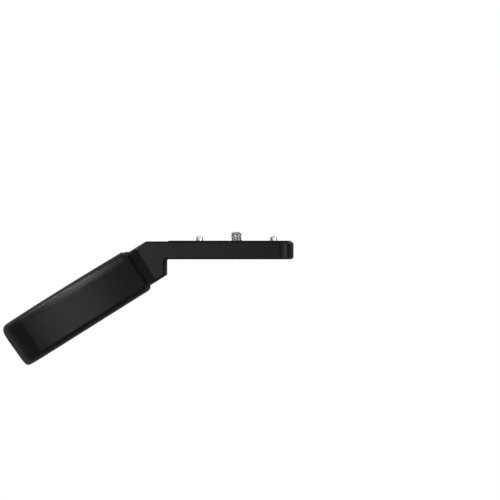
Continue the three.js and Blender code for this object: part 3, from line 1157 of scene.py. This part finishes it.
@dataclass
class GripSleeve:
    """The one-piece rubber boot: barrelled, closed at its far end, stepped down above its rim."""

    frame: GripFrame
    length: float = 78.6 * MM
    slant: float = math.tan(math.radians(3.5))
    bulge: float = 2.2 * MM
    crown: float = 0.25 * MM
    top_draft: float = 0.1 * MM
    rim_draft: float = 0.2 * MM
    top_radius: float = 6 * MM
    inner_top_radius: float = 3.3 * MM
    bottom_radius: float = 3.2 * MM
    end_plan_radius: float = 13 * MM
    end_top_radius: float = 4.5 * MM
    end_bottom_radius: float = 3 * MM
    wall: float = 1.9 * MM
    end_wall: float = 2.5 * MM
    rim_radius: float = 0.6 * MM
    rim_top_radius: float = 0.2 * MM
    rim_reach: float = 2.8 * MM
    rim_low_depth: float = 1.6 * MM
    relief_depth: float = 0.8 * MM
    relief_length: float = 0.9 * MM
    relief_ramp: float = 1.4 * MM
    corner_steps: int = 14
    rows_per_zone: int = 24
    face_rows: int = 8
    barrel_rows: int = 80
    start: float = field(init=False)
    half_width: float = field(init=False)
    half_height: float = field(init=False)

    def __post_init__(self) -> None:
        """Reads the sleeve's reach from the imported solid."""
        high = self.frame.span("grip_sleeve")[1]
        self.start = -high.x
        self.half_width = high.y - self.bulge
        self.half_height = high.z - self.crown

    def _section(
        self,
        along: float,
        inset: float,
        wide_loss: float = 0.0,
        high_loss: float = 0.0,
        low_loss: float = 0.0,
    ) -> Section:
        """The section at a place.

        Args:
            along: The place, from the knee down the grip.
            inset: How far the skin lies inside the outer one.
            wide_loss: What a rounding takes off each side.
            high_loss: What a rounding or the step down takes off the top.
            low_loss: What a rounding takes off the bottom.

        Returns:
            The section, full in the middle, drawn in at the rim and leaning at the far end.
        """
        place = (along - self.start) / (self.length / 2) - 1  # -1 at the rim, 1 at the far end
        fullness = max(1 - place**2, 0)
        tall = self.half_height - self.rim_draft * (1 - place) / 2 - inset
        return Section(
            along,
            self.half_width + self.bulge * fullness - inset - wide_loss,
            tall + (self.crown + self.top_draft) * fullness - high_loss,
            tall - low_loss,
            self.top_radius + (self.inner_top_radius - self.top_radius) * inset / self.wall,
            self.bottom_radius - inset,
            self.slant * max(place, 0),
        )

    @staticmethod
    def _loss(radius: float, inward: float) -> float:
        """What a rounding takes off, at a depth behind the face."""
        return radius - math.sqrt(radius**2 - max(radius - inward, 0) ** 2)

    def _end(self, end: float, inset: float) -> list[Section]:
        """The sections of one skin at the closed end.

        Args:
            end: The place of the skin's end face.
            inset: How far the skin lies inside the outer one.

        Returns:
            The sections, from the middle of the face outwards.
        """
        plan = self.end_plan_radius - inset
        rounded = []
        for row in range(self.rows_per_zone + 1):
            turn = QUARTER_TURN * row / self.rows_per_zone
            inward = plan * (1 - math.cos(turn))
            rounded.append(
                self._section(
                    end - inward,
                    inset,
                    plan * (1 - math.sin(turn)),
                    self._loss(self.end_top_radius - inset, inward),
                    self._loss(self.end_bottom_radius - inset, inward),
                )
            )
        face = [rounded[0].shrunk(row / self.face_rows) for row in range(self.face_rows)]
        return face + rounded

    def _skin(self, inset: float, end: float, start: float) -> list[Section]:
        """The sections of one skin.

        Args:
            inset: How far the skin lies inside the outer one.
            end: The place of the skin's end face.
            start: The place where the skin stops.

        Returns:
            The sections, from the closed end to the start.
        """
        first = end - (self.end_plan_radius - inset)
        step = (start - first) / self.barrel_rows
        rows = range(1, self.barrel_rows + 1)
        barrel = [self._section(first + step * row, inset) for row in rows]
        return self._end(end, inset) + barrel

    def _rim(self) -> list[Section]:
        """The step down in the top, the soft corner below, and the round edge of the rim.

        Returns:
            The sections, from the outer skin to the face of the rim.
        """
        rim = []
        for row in range(1, self.rows_per_zone + 1):
            inward = self.rim_reach * (1 - math.sin(QUARTER_TURN * row / self.rows_per_zone))
            inset = self._loss(self.rim_radius, inward)
            ramp = min(max(inward - self.relief_length, 0) / self.relief_ramp, 1)
            relief = self.relief_depth * (1 + math.cos(math.pi * ramp)) / 2
            high = relief + self._loss(self.rim_top_radius, inward)
            low = self._loss(self.rim_reach, inward) * self.rim_low_depth / self.rim_reach
            rim.append(
                self._section(
                    self.start + inward, inset, high_loss=high - inset, low_loss=low - inset
                )
            )
        return rim

    def sections(self) -> list[Section]:
        """All sections of the sleeve.

        Returns:
            The outer skin, the rim and the inner skin, in one row.
        """
        end = self.start + self.length
        outer = self._skin(0, end, self.start + self.rim_reach)
        inner = self._skin(self.wall, end - self.end_wall, self.start)
        return outer + self._rim() + inner[::-1]

    def _tree(self, rows: int) -> ShapeTree:
        """A tree that draws a rectangle with round corners at every section and skins them.

        Args:
            rows: The number of sections.

        Returns:
            The tree.
        """
        shape = ShapeTree("section_loft")
        steps = shape.count("Corner steps", self.corner_steps)
        corner_points = steps + 1
        around = corner_points * 4
        number = shape.index()
        place = number % around
        corner = (place / corner_points).floor()
        turn = (corner + (place % corner_points) / steps) * QUARTER_TURN
        facing = (corner + 0.5) * QUARTER_TURN
        side, up = facing.cos().sign(), facing.sin().sign()
        upper = (up + 1) * 0.5
        read = shape.reader((number / around).floor())
        low, bottom, wide = read("low"), read("bottom_radius"), read("half_width")
        reach = low + (read("high") - low) * upper
        radius = (bottom + (read("top_radius") - bottom) * upper).least(wide).least(reach).most(0)
        y = side * (wide - radius) + radius * turn.cos()
        z = up * (reach - radius) + radius * turn.sin()
        x = (read("along") + read("lean") * z) * -1
        tube = shape.tube(around, shape.count("Rows", rows))
        shape.close(shape.place(tube, x, y, z), GRIP_RUBBER.material())
        return shape

    def build(self) -> None:
        """Makes the sleeve."""
        sections = self.sections()
        piece = self._tree(len(sections)).grow("grip_sleeve_rubber", stored_rows(sections))
        face_out(piece.data)
        piece.data.transform(self.frame.matrix())
        smooth(piece)
        install(piece, GRIP_RUBBER, Body.HANDLE, "grip_sleeve")


@dataclass
class GripCore:
    """The two moulded halves inside the sleeve, with their row of screws and nuts."""

    frame: GripFrame
    screws: int = 4
    shank_radius: float = 1.95 * MM
    head_height: float = 4 * MM
    socket_width: float = 3 * MM
    socket_depth: float = 2 * MM
    thread_pitch: float = 0.7 * MM
    thread_depth: float = 0.38 * MM
    threaded_length: float = 14 * MM
    screw_around: int = 36
    screw_rows_per_pitch: int = 8
    nut_bore: float = 2.15 * MM
    nut_around: int = 48
    edge_radius: float = 0.25 * MM

    def _row(self, name: str, node: str, one: bpy.types.Object, finish: Finish) -> None:
        """Repeats a piece along the grip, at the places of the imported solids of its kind.

        Args:
            name: The name of the row.
            node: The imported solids' name, without the number.
            one: The piece that repeats, about the Z axis. It is used up.
            finish: Its finish.
        """
        nodes = [f"{node}_{number}" for number in range(1, self.screws + 1)]
        first_low, first_high = self.frame.span(nodes[0])
        last_low = self.frame.span(nodes[-1])[0]
        shape = ShapeTree(f"{node}_row")
        line = shape.node("GeometryNodeMeshLine", mode="OFFSET")
        shape.count("Count", self.screws).into(line.inputs["Count"])
        pitch = shape.size("Pitch", (last_low.x - first_low.x) / (self.screws - 1))
        shape.link(shape.vector(pitch), line.inputs["Offset"])
        repeat = shape.node("GeometryNodeInstanceOnPoints")
        shape.link(line.outputs[0], repeat.inputs["Points"])
        shape.link(shape.entry.outputs["Geometry"], repeat.inputs["Instance"])
        shape.close(repeat.outputs[0], finish.material())
        across = Matrix.Rotation(-QUARTER_TURN, 4, "X")
        start = Matrix.Translation(((first_low.x + first_high.x) / 2, first_low.y, 0))
        one.data.transform(across)
        piece = shape.grow(name, one.data)
        bpy.data.objects.remove(one)
        piece.data.transform(self.frame.matrix() @ start)
        smooth(piece, TURNED_SHARP_ANGLE)
        install(piece, finish, Body.HANDLE, *nodes)

    def _screw(self) -> bpy.types.Object:
        """One socket-head screw.

        Returns:
            The piece, head down, from the face of its head up the Z axis.
        """
        low, high = self.frame.span("core_screw_1")
        head_radius = (high.z - low.z) / 2
        length = high.y - low.y
        edge = self.edge_radius
        stops = (
            Stop(0, 0),
            Stop(head_radius, 0, edge),
            Stop(head_radius, self.head_height, edge / 2),
            Stop(self.shank_radius, self.head_height),
            Stop(self.shank_radius, length - self.threaded_length),
            Stop(self.shank_radius, length - edge, thread=self.thread_depth),
            Stop(self.shank_radius - edge, length),
            Stop(0, length),
        )
        piece = TurnedPart(
            "core_screw",
            TURNED_STEEL,
            stops,
            pitch=self.thread_pitch,
            around=self.screw_around,
            rows_per_pitch=self.screw_rows_per_pitch,
        ).make()
        cut(piece, prism(hexagon(self.socket_width), -self.socket_depth, self.socket_depth))
        return piece

    def _nut(self) -> bpy.types.Object:
        """One hexagon nut with its corners turned off.

        Returns:
            The piece, from its seat up the Z axis.
        """
        low, high = self.frame.span("core_nut_1")
        height = high.y - low.y
        across_flats = high.x - low.x
        corner = hexagon_reach(across_flats)
        edge = self.edge_radius
        stops = (
            Stop(self.nut_bore, height / 2),
            Stop(self.nut_bore, edge),
            Stop(self.nut_bore + edge, 0),
            Stop(corner - 2 * edge, 0),
            Stop(corner, edge),
            Stop(corner, height - edge),
            Stop(corner - 2 * edge, height),
            Stop(self.nut_bore + edge, height),
            Stop(self.nut_bore, height - edge),
            Stop(self.nut_bore, height / 2),
        )
        piece = TurnedPart("core_nut", BRASS, stops, around=self.nut_around).make()
        sides = prism(hexagon(across_flats), -height, 2 * height)
        sides.transform(Matrix.Rotation(HEXAGON_HALF_ANGLE, 4, "Z"))
        cut(piece, sides, "INTERSECT")
        return piece

    def build(self) -> None:
        """Dresses the two halves and makes the rows that hold them together."""
        for half in ("left", "right"):
            dress(f"grip_core_{half}", CORE_PLASTIC)
        self._row("core_screws_in_a_row", "core_screw", self._screw(), TURNED_STEEL)
        self._row("core_nuts_in_a_row", "core_nut", self._nut(), BRASS)


# Stage

OBJECT_MIDDLE = (-0.05, 0, -0.03)
GRIP_MIDDLE = (-0.082, 0, -0.034)
BLOCK_FRONT = (0.03, -0.02, -0.005)


@dataclass(frozen=True)
class Lamp:
    """A soft box: where it stands and aims, its width and height, its watts and its roll."""

    name: str
    place: tuple[float, float, float]
    aim: tuple[float, float, float]
    size: tuple[float, float]
    power: float
    roll: float = 0.0

    def light(self) -> None:
        """Puts the lamp in the scene, turned to the point that it aims at."""
        data = bpy.data.lights.new(self.name, "AREA")
        data.shape = "RECTANGLE"
        data.size, data.size_y = self.size
        data.energy = self.power
        made = bpy.data.objects.new(self.name, data)
        made.location = self.place
        facing = Vector(self.aim) - Vector(self.place)
        turned = facing.to_track_quat("-Z", "Y").to_matrix() @ Matrix.Rotation(self.roll, 3, "Z")
        made.rotation_euler = turned.to_euler()
        made.visible_camera = False
        bpy.context.scene.collection.objects.link(made)


@dataclass
class Studio:
    """The plain pale floor, the soft lights and the camera."""

    camera_place: tuple[float, float, float] = (7.3 * MM, -1300 * MM, -5 * MM)
    lens: float = 173.3
    sensor: float = 36.0
    clip_start: float = 0.01
    clip_end: float = 100.0
    floor_z: float = -1.35
    floor_size: float = 22.0
    floor_color: float = 0.82
    floor_roughness: float = 0.9
    floor_glow: float = 0.62
    ambient: float = 0.35
    lamps: tuple[Lamp, ...] = (
        Lamp("front_box", (-0.169, -1.496, -0.088), GRIP_MIDDLE, (0.3, 0.5), 2.62, 0.56),
        Lamp("front_left_box", (-0.255, -1.183, -0.142), GRIP_MIDDLE, (0.12, 0.4), 0.46, 0.55),
        Lamp("low_box", (-0.219, -0.765, 0.156), GRIP_MIDDLE, (0.17, 0.2), 1.05, 0.58),
        Lamp("middle_box", (-0.332, -0.663, 0.337), GRIP_MIDDLE, (0.17, 0.2), 1.68, 0.65),
        Lamp("high_box", (-0.335, -0.386, 0.35), GRIP_MIDDLE, (0.14, 0.15), 1.05, 0.78),
        Lamp("upper_box", (-0.328, -0.203, 0.351), GRIP_MIDDLE, (0.07, 0.12), 0.74, 1),
        Lamp("top_box", (-0.374, -0.052, 0.369), GRIP_MIDDLE, (0.08, 0.12), 0.6, 1.42),
        Lamp("top_left_box", (-0.406, -0.052, 0.343), GRIP_MIDDLE, (0.06, 0.12), 0.24, 1.44),
        Lamp("right_box", (1.21, -0.86, 0.05), BLOCK_FRONT, (0.45, 0.14), 3.9),
        Lamp("front_right_box", (0.85, -1.27, 0.05), BLOCK_FRONT, (0.7, 0.14), 1.8),
        Lamp("back_box", (0.3, 1.6, 0.6), OBJECT_MIDDLE, (1.2, 0.9), 14),
        Lamp("back_left_box", (-0.8, 1.5, 0.35), GRIP_MIDDLE, (0.6, 0.8), 5.6),
    )

    def camera(self) -> None:
        """A level camera that looks along +Y, as the photograph does."""
        data = bpy.data.cameras.new("camera")
        data.lens = self.lens
        data.sensor_width = self.sensor
        data.clip_start = self.clip_start
        data.clip_end = self.clip_end
        made = bpy.data.objects.new("camera", data)
        made.location = self.camera_place
        made.rotation_euler = (QUARTER_TURN, 0, 0)
        bpy.context.scene.collection.objects.link(made)
        bpy.context.scene.camera = made

    def world(self) -> None:
        """A white backdrop for the eye and for reflections, and a softer one as light."""
        made = bpy.data.worlds.new("studio")
        made.use_nodes = True
        bpy.context.scene.world = made
        tree = made.node_tree
        background = next(n for n in tree.nodes if n.type == "BACKGROUND")
        background.inputs["Color"].default_value = (1, 1, 1, 1)
        seen = self._seen(tree)
        (seen * (1 - self.ambient) + self.ambient).into(background.inputs["Strength"])

    @staticmethod
    def _seen(tree: bpy.types.NodeTree) -> Formula:
        """What tells the rays that see the backdrop from those that only light the object.

        Args:
            tree: The node tree of a material or the world.

        Returns:
            One for a ray from the camera, a reflection or through glass, and else zero.
        """
        path = tree.nodes.new("ShaderNodeLightPath")
        seen = Formula(tree, path.outputs["Is Camera Ray"])
        for kind in ("Is Glossy Ray", "Is Transmission Ray"):
            seen = seen.most(Formula(tree, path.outputs[kind]))
        return seen

    def floor(self) -> None:
        """A pale floor well below the hanging object."""
        work = bmesh.new()
        bmesh.ops.create_grid(work, x_segments=1, y_segments=1, size=self.floor_size / 2)
        mesh = bpy.data.meshes.new("floor")
        work.to_mesh(mesh)
        work.free()
        mesh.transform(Matrix.Translation((0, 0, self.floor_z)))
        floor = as_piece("floor", mesh)
        pale = bpy.data.materials.new("pale_floor")
        pale.use_nodes = True
        tree = pale.node_tree
        shader = next(n for n in tree.nodes if n.type == "BSDF_PRINCIPLED")
        shader.inputs["Base Color"].default_value = (*[self.floor_color] * 3, 1)
        shader.inputs["Roughness"].default_value = self.floor_roughness
        shader.inputs["Specular IOR Level"].default_value = 0
        shader.inputs["Emission Color"].default_value = (1, 1, 1, 1)
        (self._seen(tree) * self.floor_glow).into(shader.inputs["Emission Strength"])
        floor.data.materials.append(pale)
        floor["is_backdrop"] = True

    def build(self) -> None:
        """Sets the stage."""
        bpy.context.scene.view_settings.view_transform = "Standard"
        self.camera()
        for lamp in self.lamps:
            lamp.light()
        self.world()
        self.floor()


def write_sizes(packed: tuple[Vector, Vector]) -> None:
    """Args:
        packed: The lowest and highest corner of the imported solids.
    """
    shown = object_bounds()
    boxes = {"cad": [list(c) for c in packed], "visual": [list(c) for c in shown]}
    for name, (low, high) in boxes.items():
        size = [round((b - a) / MM, 2) for a, b in zip(low, high)]
        log.info("%s box: %s mm", name, size)


def main() -> None:
    """Builds every sub-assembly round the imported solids, and the stage."""
    logging.basicConfig(level=logging.INFO, format="%(name)s: %(message)s")
    for leftover in list(bpy.data.objects):
        bpy.data.objects.remove(leftover)
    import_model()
    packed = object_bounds()
    Studio().build()
    frame = GripFrame()
    for assembly in (MountingBlock(), CouplingScrew(), GripCore(frame), GripSleeve(frame)):
        assembly.build()
    write_sizes(packed)


if __name__ == "__main__":
    main()
